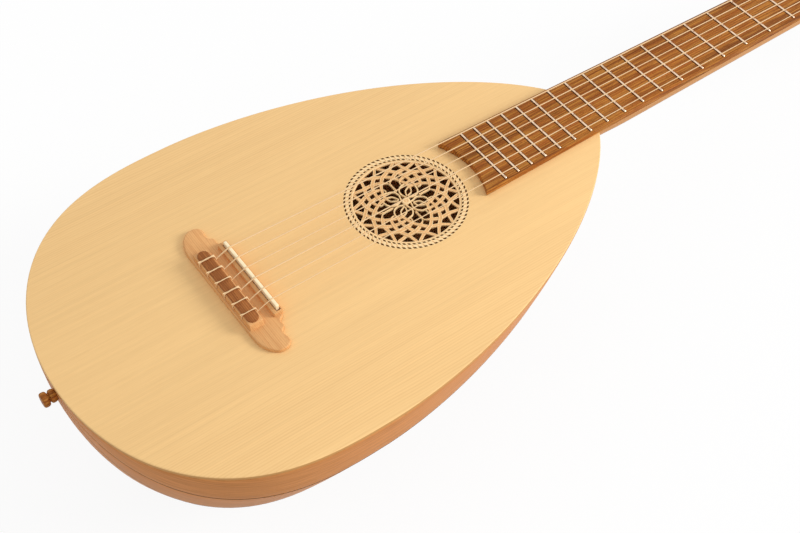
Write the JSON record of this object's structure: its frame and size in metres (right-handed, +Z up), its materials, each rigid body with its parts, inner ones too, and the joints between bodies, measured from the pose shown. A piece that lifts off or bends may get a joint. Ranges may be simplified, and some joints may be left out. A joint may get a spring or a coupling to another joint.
{
  "type": "lute guitar",
  "caption": "Guitar neck and scale on a pear-shaped lute body with a ribbed bowl back, lattice rosette, tie bridge and slotted headstock.",
  "frame": {"origin": "centre of the bounding box's bottom: on the surface under the flat keel rib, on the middle plane, halfway between the end button and the headstock's tip", "axes": "+X along the strings from the end button to the headstock, +Y across to the lowest string's side, +Z up out of the soundboard's face, which is level"},
  "size_m": [1.01, 0.3156, 0.1555],
  "materials": {
    "spruce": "satin",
    "cherry": "satin",
    "maple": "satin",
    "lattice": "matt",
    "lime_wood": "matt",
    "walnut": "satin",
    "pear": "satin",
    "bone": "polished",
    "nylon": "polished",
    "brass": "polished",
    "steel": "polished"
  },
  "bodies": {
    "root": {"soundboard": "spruce", "rosette": "lattice", "rib_01": "cherry", "rib_02": "cherry", "rib_03": "cherry", "rib_04": "cherry", "rib_05": "cherry", "rib_06": "cherry", "rib_07": "cherry", "rib_08": "cherry", "rib_09": "cherry", "rib_10": "cherry", "rib_11": "cherry", "top_bar_1": "lime_wood", "top_bar_2": "lime_wood", "top_bar_3": "lime_wood", "top_bar_4": "lime_wood", "top_bar_5": "lime_wood", "neck_block": "lime_wood", "tail_block": "lime_wood", "end_button": "walnut", "bridge": "pear", "tie_block_inlay": "walnut", "saddle": "bone", "neck": "maple", "fingerboard": "walnut", "nut": "bone", "headstock": "maple", "tuner_plate_left": "brass", "tuner_plate_right": "brass", "string_1": "nylon", "string_2": "nylon", "string_3": "nylon", "string_4": "nylon", "string_5": "nylon", "string_6": "nylon"},
    "knob_body_1": {"worm_shaft_1": "steel", "knob_1": "bone"},
    "roller_body_1": {"roller_1": "bone", "gear_1": "brass"},
    "knob_body_2": {"worm_shaft_2": "steel", "knob_2": "bone"},
    "roller_body_2": {"roller_2": "bone", "gear_2": "brass"},
    "knob_body_3": {"worm_shaft_3": "steel", "knob_3": "bone"},
    "roller_body_3": {"roller_3": "bone", "gear_3": "brass"},
    "knob_body_4": {"worm_shaft_4": "steel", "knob_4": "bone"},
    "roller_body_4": {"roller_4": "bone", "gear_4": "brass"},
    "knob_body_5": {"worm_shaft_5": "steel", "knob_5": "bone"},
    "roller_body_5": {"roller_5": "bone", "gear_5": "brass"},
    "knob_body_6": {"worm_shaft_6": "steel", "knob_6": "bone"},
    "roller_body_6": {"roller_6": "bone", "gear_6": "brass"}
  },
  "joints": [
    {"name": "knob_1_turn", "type": "hinge", "parent": "root", "child": "knob_body_1", "pos_m": [0.3765, 0.0381, 0.12068], "axis": [0.2419, 0, 0.9703], "continuous": true},
    {"name": "roller_1_turn", "type": "hinge", "parent": "root", "child": "roller_body_1", "pos_m": [0.36893, 0, 0.12257], "axis": [0, 1, 0], "continuous": true},
    {"name": "knob_2_turn", "type": "hinge", "parent": "root", "child": "knob_body_2", "pos_m": [0.41046, 0.0381, 0.11221], "axis": [0.2419, 0, 0.9703], "continuous": true},
    {"name": "roller_2_turn", "type": "hinge", "parent": "root", "child": "roller_body_2", "pos_m": [0.40289, 0, 0.1141], "axis": [0, 1, 0], "continuous": true},
    {"name": "knob_3_turn", "type": "hinge", "parent": "root", "child": "knob_body_3", "pos_m": [0.44442, 0.0381, 0.10375], "axis": [0.2419, 0, 0.9703], "continuous": true},
    {"name": "roller_3_turn", "type": "hinge", "parent": "root", "child": "roller_body_3", "pos_m": [0.43685, 0, 0.10563], "axis": [0, 1, 0], "continuous": true},
    {"name": "knob_4_turn", "type": "hinge", "parent": "root", "child": "knob_body_4", "pos_m": [0.44442, -0.0381, 0.10375], "axis": [0.2419, 0, 0.9703], "continuous": true},
    {"name": "roller_4_turn", "type": "hinge", "parent": "root", "child": "roller_body_4", "pos_m": [0.43685, 0, 0.10563], "axis": [0, 1, 0], "continuous": true},
    {"name": "knob_5_turn", "type": "hinge", "parent": "root", "child": "knob_body_5", "pos_m": [0.41046, -0.0381, 0.11221], "axis": [0.2419, 0, 0.9703], "continuous": true},
    {"name": "roller_5_turn", "type": "hinge", "parent": "root", "child": "roller_body_5", "pos_m": [0.40289, 0, 0.1141], "axis": [0, 1, 0], "continuous": true},
    {"name": "knob_6_turn", "type": "hinge", "parent": "root", "child": "knob_body_6", "pos_m": [0.3765, -0.0381, 0.12068], "axis": [0.2419, 0, 0.9703], "continuous": true},
    {"name": "roller_6_turn", "type": "hinge", "parent": "root", "child": "roller_body_6", "pos_m": [0.36893, 0, 0.12257], "axis": [0, 1, 0], "continuous": true}
  ],
  "couplings": [
    {"joint": "roller_1_turn", "follows": "knob_1_turn", "ratio": 0.071429},
    {"joint": "roller_2_turn", "follows": "knob_2_turn", "ratio": 0.071429},
    {"joint": "roller_3_turn", "follows": "knob_3_turn", "ratio": 0.071429},
    {"joint": "roller_4_turn", "follows": "knob_4_turn", "ratio": 0.071429},
    {"joint": "roller_5_turn", "follows": "knob_5_turn", "ratio": 0.071429},
    {"joint": "roller_6_turn", "follows": "knob_6_turn", "ratio": 0.071429}
  ]
}
